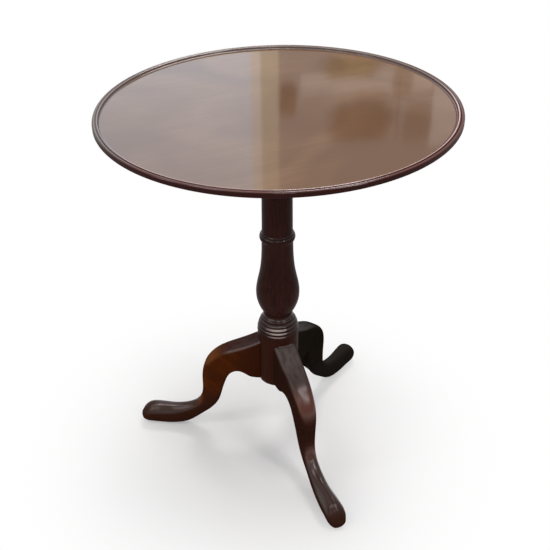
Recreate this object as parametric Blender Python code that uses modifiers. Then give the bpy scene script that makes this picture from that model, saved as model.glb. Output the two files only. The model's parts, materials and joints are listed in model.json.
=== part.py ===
"""A tilt-top wine table: a dished round top that tilts on a pillar with three cabriole legs.

Metres, +Z up. The origin is on the floor, under the pillar's axis. The legs point along -Y
and to either side of +Y. The top tilts about an axis along X, and its latch is at -Y.
"""

import math

import bmesh
import bpy
import numpy as np
from mathutils import Matrix, Vector

for leftover in list(bpy.data.objects):
    bpy.data.objects.remove(leftover, do_unlink=True)

# Driving sizes of the whole table
table_height = 0.700
top_radius = 0.292
leg_reach = 0.2877
long_leg_reach = 0.2955
block_thickness = 0.036

# Clearances and the overrun of every cutter
seat_gap = 0.0003
running_gap = 0.0004
overrun = 0.002
weld_distance = 0.00001

# The board of the top and its turned rim
board_thickness = 0.0145
dish_depth = 0.0044
rim_edge_height = 0.0088
rim_edge_round = 0.0030
rim_bevel_width = 0.024
outer_bead_width = 0.0052
bead_groove_depth = 0.0013
inner_bead_radius = 0.0021
rim_cove_width = 0.0024
top_steps = 64

underside = table_height - board_thickness
field_height = table_height - dish_depth

# The block on the pillar and the dowels that the top turns on
block_half_width = 0.060
block_front_reach = 0.060
block_chamfer = 0.007
pivot_reach = 0.052
pivot_drop = 0.0130
nose_gap = 0.0006
pin_radius = 0.0060
pin_bury = 0.030
pin_steps = 20
nose_steps = 8

block_top = underside - seat_gap
block_bottom = block_top - block_thickness
pivot_height = underside - pivot_drop
nose_radius = pivot_drop - nose_gap

# The battens that carry the top on the dowels
bearer_length = 0.440
bearer_width = 0.022
bearer_depth = 0.024
bearer_end_depth = 0.010
bearer_taper = 0.050
bearer_side_gap = 0.0005
bearer_screw_shares = (-0.74, -0.26, 0.46, 0.74)
bearer_inner = block_half_width + bearer_side_gap
bearer_middle = bearer_inner + bearer_width / 2
bearer_top = underside - seat_gap

# The pillar
drum_radius = 0.0382
drum_foot = 0.1515
shaft_top_radius = 0.0258
shaft_foot_radius = 0.0271
ring_radius = 0.0316
ring_height = 0.4630
ring_half_height = 0.0062
vase_radius = 0.0395
vase_height = 0.3480
vase_neck_radius = 0.0246
vase_neck_height = 0.3025
tenon_radius = 0.0165
tenon_sunk = 0.0005
pillar_steps = 24
reed_pitch = 0.0068
reed_depth = 0.0009
ball_smooth = 0.0038

# The wedge in the pillar's tenon
wedge_head = 0.0026
wedge_tip = 0.0012
wedge_length = 0.024
wedge_margin = 0.0030

# The legs and their sliding dovetails
leg_angles = {"leg_front": 270.0, "leg_right": 34.2, "leg_left": 150.0}
leg_width = 0.038
leg_rise = 0.0922
leg_shoulder = 0.0310
ledge_gap = 0.0008
tongue_depth = 0.014
tongue_neck = 0.013
tongue_tail = 0.019
tongue_height = 0.078
tongue_lift = 0.0005
tongue_root = 0.010
sole_cut = 0.0012
ring_points = 16
rings_per_span = 2

# The iron plate under the drum
strap_reach = 0.0505
strap_width = 0.015
strap_thickness = 0.0022
strap_end_steps = 6
strap_leg_screw = 0.0425
strap_tongue_screw = 0.0265

# The catch under the top, behind the block's front face
bolt_width = 0.0130
bolt_depth = 0.0060
bolt_length = 0.060
bolt_nose_round = 0.0015
bolt_set_back = 0.0025
bolt_top_drop = 0.0055
plate_half_width = 0.0205
plate_length = 0.053
plate_thickness = 0.0018
plate_set_back = 0.0065
staple_length = 0.0080
staple_wall = 0.0015
staple_margin = 0.0035
staple_half_width = 0.0190
knob_radius = 0.0060
knob_stem_radius = 0.0022
knob_stem_length = 0.0060
knob_length = 0.0150
knob_set_back = 0.0345
knob_bury = 0.0040
knob_steps = 16
spring_width = 0.0080
spring_thickness = 0.0006
spring_tab = 0.0050
spring_arch_steps = 8
rivet_radius = 0.0011
rivet_head_radius = 0.0019
rivet_head_height = 0.0006
rivet_steps = 10

# The plate that the bolt enters
keeper_half_width = 0.0180
keeper_height = 0.0150
keeper_thickness = 0.0016
mortise_depth = 0.014
keeper_gap = 0.0006
mortise_gap = 0.0028
keeper_screw_reach = 0.0125

# Wood screws
counterbore_depth = 0.0100
bearer_screw_bite = 0.0062
catch_screw_bite = 0.0056
screw_tip = 0.0030
screw_steps = 10
screw_slot_width = 0.0008
screw_slot_depth = 0.0007
keeper_screw_bite = 0.0079

# Each screw's head radius, head height, shank radius and length under the head's face
bearer_screw_length = bearer_depth - counterbore_depth + seat_gap + bearer_screw_bite
catch_screw_length = staple_wall + plate_thickness + 2 * seat_gap + catch_screw_bite
bearer_screw = (0.0039, 0.0022, 0.0018, bearer_screw_length)
catch_screw = (0.0029, 0.0015, 0.0012, catch_screw_length)
keeper_screw = (0.0029, 0.0015, 0.0012, keeper_thickness + keeper_screw_bite)
strap_screw = (0.0035, 0.0018, 0.0015, 0.0160)

parts = bpy.data.collections.new("tilt_top_wine_table")
cutters = bpy.data.collections.new("cutters")
bpy.context.scene.collection.children.link(parts)
bpy.context.scene.collection.children.link(cutters)


def finish(name, color, roughness, metallic=0.0):
    """A Principled material"""
    material = bpy.data.materials.new(name)
    material.use_nodes = True
    shader = material.node_tree.nodes["Principled BSDF"]
    shader.inputs["Base Color"].default_value = (*color, 1.0)
    shader.inputs["Roughness"].default_value = roughness
    shader.inputs["Metallic"].default_value = metallic
    return material


top_wood = finish("polished_mahogany", (0.16, 0.055, 0.025), 0.12)
pillar_wood = finish("dark_mahogany", (0.045, 0.016, 0.010), 0.25)
leg_wood = finish("leg_mahogany", (0.075, 0.024, 0.010), 0.25)
block_wood = finish("plain_mahogany", (0.11, 0.045, 0.022), 0.6)
brass = finish("old_brass", (0.50, 0.35, 0.13), 0.35, 1.0)
iron = finish("black_iron", (0.05, 0.045, 0.042), 0.55, 1.0)


def add(name, mesh, group, material=None):
    """An object for a mesh, in the parts or with the hidden cutters"""
    piece = bpy.data.objects.new(name, mesh)
    group.objects.link(piece)
    if material:
        mesh.materials.clear()
        mesh.materials.append(material)
    if group is cutters:
        piece.hide_render = True
        piece.display_type = "WIRE"
    return piece


def round_off(mesh, angle=math.radians(35)):
    """Smooth shading that keeps the sharp edges"""
    mesh.shade_smooth()
    mesh.set_sharp_from_angle(angle=angle)


def turned(name, profile, steps, group, material=None):
    """A solid turned about Z, from (radius, height) points down its outer side"""
    mesh = bpy.data.meshes.new(name)
    edges = [(i, i + 1) for i in range(len(profile) - 1)]
    mesh.from_pydata([(radius, 0, height) for radius, height in profile], edges, [])
    piece = add(name, mesh, group, material)
    turn = piece.modifiers.new("Turn", "SCREW")
    turn.steps = steps
    turn.render_steps = steps
    turn.use_merge_vertices = True
    turn.merge_threshold = weld_distance
    turn.use_smooth_shade = True
    return piece


def flat_piece(name, outline, thickness, group, material=None):
    """A flat outline in XY, thickened half to each side, as a mesh"""
    curve = bpy.data.curves.new(name, "CURVE")
    curve.dimensions = "2D"
    curve.fill_mode = "BOTH"
    curve.extrude = thickness / 2
    spline = curve.splines.new("POLY")
    spline.points.add(len(outline) - 1)
    for point, (x, y) in zip(spline.points, outline):
        point.co = (x, y, 0, 1)
    spline.use_cyclic_u = True
    drawing = bpy.data.objects.new(name + "_outline", curve)
    bpy.context.scene.collection.objects.link(drawing)
    bpy.context.view_layer.update()
    graph = bpy.context.evaluated_depsgraph_get()
    mesh = bpy.data.meshes.new_from_object(drawing.evaluated_get(graph))
    bpy.data.objects.remove(drawing, do_unlink=True)
    form = bmesh.new()
    form.from_mesh(mesh)
    bmesh.ops.remove_doubles(form, verts=form.verts, dist=weld_distance)
    bmesh.ops.recalc_face_normals(form, faces=form.faces)
    form.to_mesh(mesh)
    form.free()
    mesh.shade_flat()
    return add(name, mesh, group, material)


def box(name, low, high, group, material=None):
    """A box between two corners, with its origin at its middle"""
    mesh = bpy.data.meshes.new(name)
    form = bmesh.new()
    bmesh.ops.create_cube(form, size=1)
    size = Vector(high) - Vector(low)
    bmesh.ops.scale(form, vec=size, verts=form.verts)
    form.to_mesh(mesh)
    form.free()
    piece = add(name, mesh, group, material)
    piece.location = (Vector(low) + Vector(high)) / 2
    return piece


def rod(name, radius, length, steps, group, material=None):
    """A cylinder along Z, centred on its origin"""
    mesh = bpy.data.meshes.new(name)
    form = bmesh.new()
    bmesh.ops.create_cone(
        form, cap_ends=True, segments=steps, radius1=radius, radius2=radius, depth=length)
    form.to_mesh(mesh)
    form.free()
    piece = add(name, mesh, group, material)
    return piece


def cut(piece, cutter, operation="DIFFERENCE"):
    """An exact Boolean that stays on the piece"""
    boolean = piece.modifiers.new(cutter.name, "BOOLEAN")
    boolean.object = cutter
    boolean.operation = operation
    boolean.solver = "EXACT"


def arc(middle, radius, start, end, steps):
    """Points of an arc in the plane of an outline, angles in degrees"""
    points = []
    for step in range(steps + 1):
        angle = math.radians(start + (end - start) * step / steps)
        points.append((middle[0] + radius * math.cos(angle), middle[1] + radius * math.sin(angle)))
    return points


# Turns that stand a flat outline up: its X and Y become the world's Y and Z, or X and Z
upright_along_x = (math.radians(90), 0, math.radians(90))
upright_along_y = (math.radians(90), 0, 0)
lying_along_x = (0, math.radians(90), 0)


def screw_mesh(name, size, material):
    """One slotted wood screw, whose mesh its copies share"""
    head_radius, head_height, shank_radius, length = size
    profile = [
        (0, length), (shank_radius, length - screw_tip), (shank_radius, head_height),
        (head_radius, 0), (0, 0)]
    model = turned(name + "_model", profile, screw_steps, cutters)
    slot = box(
        name + "_slot",
        (-head_radius - overrun, -screw_slot_width / 2, -overrun),
        (head_radius + overrun, screw_slot_width / 2, screw_slot_depth),
        cutters)
    cut(model, slot)
    bpy.context.view_layer.update()
    graph = bpy.context.evaluated_depsgraph_get()
    mesh = bpy.data.meshes.new_from_object(model.evaluated_get(graph))
    bpy.data.objects.remove(model, do_unlink=True)
    bpy.data.objects.remove(slot, do_unlink=True)
    mesh.name = name
    mesh.materials.clear()
    mesh.materials.append(material)
    round_off(mesh)
    return mesh


bearer_screw_mesh = screw_mesh("bearer_screw", bearer_screw, iron)
catch_screw_mesh = screw_mesh("catch_screw", catch_screw, brass)
keeper_screw_mesh = screw_mesh("keeper_screw", keeper_screw, brass)
strap_screw_mesh = screw_mesh("strap_screw", strap_screw, iron)


def fix(name, mesh, size, place, held, head_room=overrun, turn=(0, 0, 0)):
    """A screw with its head's face at place, and its hole through each piece that it holds"""
    piece = bpy.data.objects.new(name, mesh)
    parts.objects.link(piece)
    head_radius, head_height, shank_radius, length = size
    profile = [
        (0, length + seat_gap),
        (shank_radius + seat_gap, length - screw_tip + seat_gap),
        (shank_radius + seat_gap, head_height + seat_gap),
        (head_radius + seat_gap, seat_gap),
        (head_radius + seat_gap, -head_room),
        (0, -head_room)]
    hole = turned(name + "_hole", profile, screw_steps, cutters)
    for part in (piece, hole):
        part.location = place
        part.rotation_euler = turn
    for holder in held:
        cut(holder, hole)
    return piece


# The top: one dished board, turned with two beads on its rim and a bevel under its edge
def top_profile():
    """The board from the middle of its field, over the rim and back under it"""
    edge = table_height - rim_edge_round
    ovolo = arc((top_radius - rim_edge_round, edge), rim_edge_round, 90, 0, 4)
    groove_radius = top_radius - outer_bead_width
    bead_middle = groove_radius - inner_bead_radius
    bead = arc((bead_middle, table_height - inner_bead_radius), inner_bead_radius, 160, 20, 5)
    cove_foot = bead_middle - inner_bead_radius - rim_cove_width
    profile = [(0, field_height), (cove_foot, field_height)]
    profile.append((cove_foot + rim_cove_width * 0.6, field_height + dish_depth * 0.14))
    profile += bead
    profile.append((groove_radius, table_height - bead_groove_depth))
    profile += ovolo
    profile.append((top_radius, table_height - rim_edge_height + rim_edge_round / 3))
    profile.append((top_radius - rim_edge_round / 3, table_height - rim_edge_height))
    profile.append((top_radius - rim_bevel_width, underside))
    profile.append((0, underside))
    return profile


table_top = turned("table_top", top_profile(), top_steps, parts, top_wood)
on_top = [table_top]

# The pillar: points down its outer side, with the vase and reeds as shares of their sizes
vase_rise_shares = (
    (0.00, 1.00), (0.07, 0.975), (0.14, 0.905), (0.22, 0.80), (0.30, 0.675), (0.38, 0.555),
    (0.47, 0.445), (0.58, 0.35), (0.70, 0.28), (0.84, 0.235), (1.00, 0.22))
vase_fall_shares = (
    (0.00, 1.00), (0.16, 0.985), (0.32, 0.92), (0.50, 0.78), (0.68, 0.57), (0.84, 0.32), (1.00, 0.0))
reed_shares = (0.39, 0.67, 0.87, 1.00, 1.04)


def pillar_profile():
    """The pillar from its tenon's top to the drum's foot"""
    tenon_top = block_top - tenon_sunk
    shoulder = block_bottom - seat_gap
    ring_top = ring_height + ring_half_height
    ring_foot = ring_height - ring_half_height
    fillet = (ring_radius + 2 * shaft_foot_radius) / 3
    profile = [(0, tenon_top), (tenon_radius, tenon_top), (tenon_radius, shoulder)]
    profile += [(shaft_top_radius, shoulder), (shaft_foot_radius, ring_top + ring_half_height)]
    profile += [(fillet, ring_top + ring_half_height / 2), (fillet, ring_top)]
    for step in range(1, 6):
        angle = math.radians(90 - 30 * step)
        swell = (ring_radius - fillet) * math.cos(angle)
        profile.append((fillet + swell, ring_height + ring_half_height * math.sin(angle)))
    profile.append((fillet, ring_foot))
    rise = ring_foot - vase_height - ring_half_height / 2
    swell = vase_radius - vase_neck_radius
    for height_share, radius_share in reversed(vase_rise_shares):
        profile.append((vase_neck_radius + swell * radius_share, vase_height + rise * height_share))
    fall = vase_height - vase_neck_height
    for height_share, radius_share in vase_fall_shares[1:]:
        profile.append((vase_neck_radius + swell * radius_share, vase_height - fall * height_share))
    bead_radius = vase_neck_radius + 2 * reed_depth
    bead_height = vase_neck_height - reed_pitch / 2
    profile += [(bead_radius, vase_neck_height - reed_pitch / 5), (bead_radius, bead_height)]
    bulb = drum_radius - vase_neck_radius
    reed_head = bead_height - ball_smooth
    profile.append((vase_neck_radius + bulb * 0.10, bead_height - ball_smooth * 0.15))
    profile.append((vase_neck_radius + bulb * 0.22, reed_head))
    for number, share in enumerate(reed_shares):
        head = reed_head - number * reed_pitch
        crest = vase_neck_radius + bulb * share
        before = reed_shares[number - 1] if number else share / 2
        groove = vase_neck_radius + bulb * (before + share) / 2 - reed_depth
        profile.append((groove, head - reed_pitch * 0.08))
        profile.append((crest - reed_depth / 3, head - reed_pitch * 0.32))
        profile.append((crest, head - reed_pitch * 0.60))
        profile.append((crest - reed_depth / 6, head - reed_pitch * 0.88))
    reed_foot = reed_head - len(reed_shares) * reed_pitch
    profile.append((drum_radius - reed_depth * 0.6, reed_foot))
    profile.append((drum_radius, reed_foot - reed_pitch * 0.25))
    profile += [(drum_radius, drum_foot), (0, drum_foot)]
    return profile


column = turned("column", pillar_profile(), pillar_steps, parts, pillar_wood)

# The legs: lofted between an upper and a lower outline, in shares of the leg's reach past the
# drum, of its height and of its width. Each row is reach and height of the top, reach and
# height of the underside, width, and how square the section is
leg_station_shares = (
    (0.000, 1.000, 0.000, 0.623, 1.21, 8.0),
    (0.057, 0.967, 0.057, 0.623, 1.21, 8.0),
    (0.113, 0.936, 0.088, 0.629, 1.20, 8.0),
    (0.171, 0.908, 0.121, 0.649, 1.18, 7.5),
    (0.231, 0.881, 0.154, 0.663, 1.14, 7.0),
    (0.290, 0.851, 0.189, 0.660, 1.09, 6.5),
    (0.345, 0.816, 0.223, 0.641, 1.04, 6.0),
    (0.397, 0.765, 0.253, 0.604, 0.99, 5.5),
    (0.440, 0.700, 0.276, 0.554, 0.94, 5.0),
    (0.462, 0.625, 0.294, 0.498, 0.90, 4.2),
    (0.471, 0.546, 0.310, 0.442, 0.84, 3.5),
    (0.472, 0.463, 0.326, 0.378, 0.79, 3.0),
    (0.479, 0.381, 0.344, 0.316, 0.74, 2.6),
    (0.502, 0.310, 0.375, 0.255, 0.70, 2.4),
    (0.547, 0.258, 0.416, 0.202, 0.67, 2.3),
    (0.610, 0.225, 0.466, 0.154, 0.67, 2.2),
    (0.681, 0.207, 0.531, 0.092, 0.70, 2.1),
    (0.749, 0.200, 0.610, 0.030, 0.75, 2.0),
    (0.820, 0.198, 0.715, 0.000, 0.82, 2.0),
    (0.880, 0.193, 0.830, -0.004, 0.88, 2.0),
    (0.931, 0.173, 0.923, 0.005, 0.83, 2.0),
    (0.968, 0.136, 0.967, 0.030, 0.66, 2.0),
    (0.991, 0.101, 0.989, 0.054, 0.45, 2.0),
    (1.000, 0.081, 1.000, 0.072, 0.08, 2.0),
)
leg_head = drum_foot + leg_rise


def smoothed(rows, per_span):
    """Rows of a table with smooth rows between them, by chord-length Hermite curves"""
    rows = np.array(rows, dtype=float)
    middles = (rows[:, :2] + rows[:, 2:4]) / 2
    chords = np.linalg.norm(np.diff(middles, axis=0), axis=1)
    place = np.concatenate(([0.0], np.cumsum(chords)))
    slopes = np.gradient(rows, place, axis=0)
    out = []
    for i, chord in enumerate(chords):
        for step in range(per_span):
            t = step / per_span
            near = (2 * t**3 - 3 * t**2 + 1) * rows[i] + (t**3 - 2 * t**2 + t) * chord * slopes[i]
            far = (3 * t**2 - 2 * t**3) * rows[i + 1] + (t**3 - t**2) * chord * slopes[i + 1]
            out.append(near + far)
    out.append(rows[-1])
    return out


def leg_mesh(reach):
    """One leg along +X, with its shoulder face square to X and its sole cut flat"""
    form = bmesh.new()
    rings = []
    shoulder = leg_shoulder + seat_gap
    beyond = reach - shoulder
    for upper_x, upper_z, lower_x, lower_z, width, squareness in smoothed(
            leg_station_shares, rings_per_span):
        upper = Vector((shoulder + upper_x * beyond, 0, upper_z * leg_head))
        lower = Vector((shoulder + lower_x * beyond, 0, lower_z * leg_head))
        tallness = (upper - lower).length / (width * leg_width)
        upright = 2 + (squareness - 2) * max(tallness, 1)
        ring = []
        for number in range(ring_points):
            angle = 2 * math.pi * (number + 0.5) / ring_points
            across = math.copysign(abs(math.cos(angle)) ** (2 / squareness), math.cos(angle))
            up = math.copysign(abs(math.sin(angle)) ** (2 / upright), math.sin(angle))
            place = upper.lerp(lower, (1 - up) / 2)
            place.y = across * width * leg_width / 2
            ring.append(form.verts.new(place))
        rings.append(ring)
    for ring, after in zip(rings, rings[1:]):
        for number in range(ring_points):
            beside = (number + 1) % ring_points
            form.faces.new((ring[number], ring[beside], after[beside], after[number]))
    form.faces.new(list(reversed(rings[0])))
    form.faces.new(rings[-1])
    cut_plane = bmesh.ops.bisect_plane(
        form, geom=form.verts[:] + form.edges[:] + form.faces[:], dist=weld_distance,
        plane_co=(0, 0, 0), plane_no=(0, 0, -1), clear_outer=True)
    rim = [part for part in cut_plane["geom_cut"] if isinstance(part, bmesh.types.BMEdge)]
    bmesh.ops.contextual_create(form, geom=rim)
    bmesh.ops.recalc_face_normals(form, faces=form.faces)
    mesh = bpy.data.meshes.new("cabriole_leg")
    form.to_mesh(mesh)
    form.free()
    return mesh


def dovetail(name, gap, foot, head):
    """The tongue of a leg, or with a gap the socket for it, along +X from the pillar's axis"""
    neck = tongue_neck / 2 + gap
    tail = tongue_tail / 2 + gap
    start = leg_shoulder - tongue_depth - gap
    outline = [(start, -tail), (leg_shoulder, -neck), (leg_shoulder + tongue_root, -neck)]
    outline += [(leg_shoulder + tongue_root, neck), (leg_shoulder, neck), (start, tail)]
    piece = flat_piece(name, outline, head - foot, cutters)
    piece.data.transform(Matrix.Translation((0, 0, (foot + head) / 2)))
    return piece


leg_shape = leg_mesh(leg_reach)
long_leg_shape = leg_mesh(long_leg_reach)
for shape in (leg_shape, long_leg_shape):
    round_off(shape)
legs = {}
tongue_head = drum_foot + tongue_height
for leg_name, angle in leg_angles.items():
    turn = (0, 0, math.radians(angle))
    shape = long_leg_shape if leg_name == "leg_right" else leg_shape
    leg = add(leg_name, shape, parts, leg_wood)
    leg.rotation_euler = turn
    tongue = dovetail(leg_name + "_tongue", 0, drum_foot + tongue_lift, tongue_head)
    tongue.rotation_euler = turn
    cut(leg, tongue, "UNION")
    legs[leg_name] = leg
    facet = box(
        leg_name + "_facet",
        (leg_shoulder, -drum_radius, drum_foot - overrun),
        (leg_shoulder + drum_radius, drum_radius, leg_head + ledge_gap),
        cutters)
    facet.location = Matrix.Rotation(math.radians(angle), 3, "Z") @ facet.location
    facet.rotation_euler = turn
    cut(column, facet)
    socket = dovetail(leg_name + "_socket", seat_gap, drum_foot - overrun, tongue_head + seat_gap)
    socket.rotation_euler = turn
    cut(column, socket)


# The block: its far top edge is rounded about the pivot, so that the top can turn over it
def block_outline():
    """The block's side, with Y and Z of the table as its own X and Y"""
    nose = arc((pivot_reach, pivot_height), nose_radius, 0, 90, nose_steps)
    outline = [(-block_front_reach + block_chamfer, block_bottom)]
    outline.append((pivot_reach + nose_radius - block_chamfer, block_bottom))
    outline.append((pivot_reach + nose_radius, block_bottom + block_chamfer))
    outline += nose
    outline[-1] = (pivot_reach, block_top)
    outline.append((-block_front_reach, block_top))
    outline.append((-block_front_reach, block_bottom + block_chamfer))
    return outline


tilt_block = flat_piece("tilt_block", block_outline(), 2 * block_half_width, parts, block_wood)
tilt_block.rotation_euler = upright_along_x

mortise_for_tenon = rod(
    "tenon_mortise", tenon_radius + seat_gap, block_thickness + 2 * overrun, pillar_steps, cutters)
mortise_for_tenon.location = (0, 0, (block_top + block_bottom) / 2)
cut(tilt_block, mortise_for_tenon)

# The wedge in its kerf across the tenon
kerf = box(
    "tenon_kerf",
    (-tenon_radius - overrun, -wedge_head / 2 - seat_gap, block_top - wedge_length - seat_gap),
    (tenon_radius + overrun, wedge_head / 2 + seat_gap, block_top + overrun),
    cutters)
cut(column, kerf)
wedge_outline = [
    (-wedge_tip / 2, block_top - wedge_length), (wedge_tip / 2, block_top - wedge_length),
    (wedge_head / 2, block_top - tenon_sunk), (-wedge_head / 2, block_top - tenon_sunk)]
tenon_wedge = flat_piece(
    "tenon_wedge", wedge_outline, 2 * (tenon_radius - wedge_margin), parts, block_wood)
tenon_wedge.rotation_euler = upright_along_x


# The battens, tapered under their ends, and the dowels from the block into them
def bearer_outline():
    """A batten's side, with Y and Z of the table as its own X and Y"""
    half = bearer_length / 2
    foot = bearer_top - bearer_depth
    end = bearer_top - bearer_end_depth
    return [
        (-half, end), (-half + bearer_taper, foot), (half - bearer_taper, foot), (half, end),
        (half, bearer_top), (-half, bearer_top)]


for side, sign in (("left", -1), ("right", 1)):
    bearer = flat_piece("bearer_" + side, bearer_outline(), bearer_width, parts, block_wood)
    bearer.location = (sign * bearer_middle, 0, 0)
    bearer.rotation_euler = upright_along_x
    pin_inner = block_half_width - pin_bury
    pin_outer = bearer_inner + bearer_width
    pin_place = (sign * (pin_inner + pin_outer) / 2, pivot_reach, pivot_height)
    pin = rod("pivot_pin_" + side, pin_radius, pin_outer - pin_inner, pin_steps, parts, block_wood)
    pin_hole = rod(
        side + "_pin_hole", pin_radius + seat_gap, pin_outer - pin_inner + 2 * seat_gap,
        pin_steps, cutters)
    bearer_hole = rod(
        side + "_bearer_hole", pin_radius + running_gap, bearer_width + 2 * overrun, pin_steps,
        cutters)
    for piece in (pin, pin_hole):
        piece.location = pin_place
        piece.rotation_euler = lying_along_x
    bearer_hole.location = (sign * bearer_middle, pivot_reach, pivot_height)
    bearer_hole.rotation_euler = lying_along_x
    round_off(pin.data)
    cut(tilt_block, pin_hole)
    cut(bearer, bearer_hole)
    for number, share in enumerate(bearer_screw_shares):
        screw_number = number + 1 + (len(bearer_screw_shares) if sign > 0 else 0)
        screw_name = "bearer_screw_" + str(screw_number)
        place = (
            sign * bearer_middle,
            share * bearer_length / 2,
            bearer_top - bearer_depth + counterbore_depth)
        screw = fix(screw_name, bearer_screw_mesh, bearer_screw, place, (bearer, table_top),
                    counterbore_depth + overrun)
        on_top.append(screw)
    on_top.append(bearer)

# The iron plate under the drum, a three-armed star with round ends
star_outline = []
arm_half = strap_width / 2
for angle in sorted(leg_angles.values()):
    arm = arc((strap_reach - arm_half, 0), arm_half, -90, 90, strap_end_steps)
    turn = Matrix.Rotation(math.radians(angle), 2)
    star_outline += [tuple(turn @ Vector(point)) for point in arm]
    crotch = Vector((2 * arm_half, 0))
    star_outline.append(tuple(Matrix.Rotation(math.radians(angle + 60), 2) @ crotch))
leg_strap = flat_piece("leg_strap", star_outline, strap_thickness, parts, iron)
strap_top = drum_foot - seat_gap
strap_foot = strap_top - strap_thickness
leg_strap.location = (0, 0, (strap_top + strap_foot) / 2)
fix("strap_screw_1", strap_screw_mesh, strap_screw, (0, 0, strap_foot), (leg_strap, column))
screw_count = 1
for leg_name, angle in leg_angles.items():
    for reach in (strap_tongue_screw, strap_leg_screw):
        screw_count += 1
        place = Matrix.Rotation(math.radians(angle), 3, "Z") @ Vector((reach, 0, strap_foot))
        fix("strap_screw_" + str(screw_count), strap_screw_mesh, strap_screw, place,
            (leg_strap, legs[leg_name]), turn=(0, 0, math.radians(angle)))

# The catch: a plate with two staples, the bolt in them, a leaf spring over it, a knob under it
block_face = -block_front_reach
plate_top = underside - seat_gap
plate_foot = plate_top - plate_thickness
plate_front = block_face - plate_set_back
plate_back = plate_front - plate_length
catch_plate = box(
    "catch_plate",
    (-plate_half_width, plate_back, plate_foot),
    (plate_half_width, plate_front, plate_top),
    parts, brass)

bolt_top = underside - bolt_top_drop
bolt_foot = bolt_top - bolt_depth
bolt_nose = block_face - bolt_set_back
bolt_middle = (bolt_top + bolt_foot) / 2
bolt_tail = bolt_nose - bolt_length
bolt_outline = [
    (-bolt_width / 2, bolt_tail), (bolt_width / 2, bolt_tail),
    (bolt_width / 2, bolt_nose - bolt_nose_round), (bolt_width / 2 - bolt_nose_round, bolt_nose),
    (-bolt_width / 2 + bolt_nose_round, bolt_nose), (-bolt_width / 2, bolt_nose - bolt_nose_round)]
catch_bolt = flat_piece("catch_bolt", bolt_outline, bolt_depth, parts, brass)
catch_bolt.location = (0, 0, bolt_middle)


def staple_outline():
    """A staple's end, with X and Z of the table as its own X and Y"""
    inner = bolt_width / 2 + running_gap
    outer = inner + staple_wall
    head = plate_foot - seat_gap
    flange = head - staple_wall
    inner_foot = bolt_foot - running_gap
    foot = inner_foot - staple_wall
    return [
        (-staple_half_width, flange), (-outer, flange), (-outer, foot), (outer, foot),
        (outer, flange), (staple_half_width, flange), (staple_half_width, head), (inner, head),
        (inner, inner_foot), (-inner, inner_foot), (-inner, head), (-staple_half_width, head)]


staple_places = {
    "catch_staple_front": plate_front - staple_margin - staple_length / 2,
    "catch_staple_back": plate_back + staple_margin + staple_length / 2,
}
screw_count = 0
catch_screw_reach = (bolt_width / 2 + staple_wall + staple_half_width) / 2
catch_screw_foot = plate_foot - seat_gap - staple_wall
for staple_name, along in staple_places.items():
    staple = flat_piece(staple_name, staple_outline(), staple_length, parts, brass)
    staple.location = (0, along, 0)
    staple.rotation_euler = upright_along_y
    on_top.append(staple)
    for sign in (-1, 1):
        screw_count += 1
        screw = fix("catch_screw_" + str(screw_count), catch_screw_mesh, catch_screw,
                    (sign * catch_screw_reach, along, catch_screw_foot),
                    (staple, catch_plate, table_top), turn=(0, 0, screw_count))
        on_top.append(screw)

# The leaf spring is an arched strip, riveted to the plate by its tab
spring_front = staple_places["catch_staple_front"] - staple_length / 2 - running_gap
spring_back = staple_places["catch_staple_back"] + staple_length / 2 + running_gap
spring_head = plate_foot - seat_gap
arch_rise = spring_head - spring_thickness - (bolt_top + seat_gap)
arch_length = spring_front - spring_back - spring_tab


def spring_outline():
    """The leaf's side, with Y and Z of the table as its own X and Y"""
    tops = [(spring_back, spring_head)]
    for step in range(spring_arch_steps + 1):
        share = step / spring_arch_steps
        dip = arch_rise * math.sin(math.pi * share) ** 2
        tops.append((spring_back + spring_tab + arch_length * share, spring_head - dip))
    feet = [(along, height - spring_thickness) for along, height in reversed(tops)]
    return feet + tops


catch_spring = flat_piece("catch_spring", spring_outline(), spring_width, parts, brass)
catch_spring.rotation_euler = upright_along_x
rivet_foot = spring_head - spring_thickness - seat_gap - rivet_head_height
rivet_top = plate_top - tenon_sunk


def rivet_profile(gap):
    """The rivet from its upper end to its head, or the hole for its shank"""
    if gap:
        return [
            (0, plate_top + overrun), (rivet_radius + gap, plate_top + overrun),
            (rivet_radius + gap, bolt_top), (0, bolt_top)]
    return [
        (0, rivet_top), (rivet_radius, rivet_top), (rivet_radius, rivet_foot + rivet_head_height),
        (rivet_head_radius, rivet_foot + rivet_head_height), (rivet_head_radius, rivet_foot),
        (0, rivet_foot)]


spring_rivet = turned("spring_rivet", rivet_profile(0), rivet_steps, parts, brass)
rivet_hole = turned("rivet_hole", rivet_profile(seat_gap), rivet_steps, cutters)
for piece in (spring_rivet, rivet_hole):
    piece.location = (0, spring_back + spring_tab / 2, 0)
cut(catch_spring, rivet_hole)
cut(catch_plate, rivet_hole)

# The knob hangs from the bolt by its stem
knob_profile = [
    (0, bolt_foot + knob_bury),
    (knob_stem_radius, bolt_foot + knob_bury),
    (knob_stem_radius, bolt_foot - knob_stem_length),
    (knob_radius * 0.72, bolt_foot - knob_stem_length - knob_radius * 0.28),
    (knob_radius, bolt_foot - knob_stem_length - knob_radius * 0.75),
    (knob_radius * 0.80, bolt_foot - knob_length + knob_radius * 0.25),
    (knob_radius * 0.45, bolt_foot - knob_length),
    (0, bolt_foot - knob_length)]
catch_knob = turned("catch_knob", knob_profile, knob_steps, parts, brass)
knob_hole_profile = [
    (0, bolt_foot + knob_bury + seat_gap),
    (knob_stem_radius + seat_gap, bolt_foot + knob_bury + seat_gap),
    (knob_stem_radius + seat_gap, bolt_foot - overrun),
    (0, bolt_foot - overrun)]
knob_hole = turned("knob_hole", knob_hole_profile, knob_steps, cutters)
for piece in (catch_knob, knob_hole):
    piece.location = (0, bolt_nose - knob_set_back, 0)
cut(catch_bolt, knob_hole)

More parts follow.
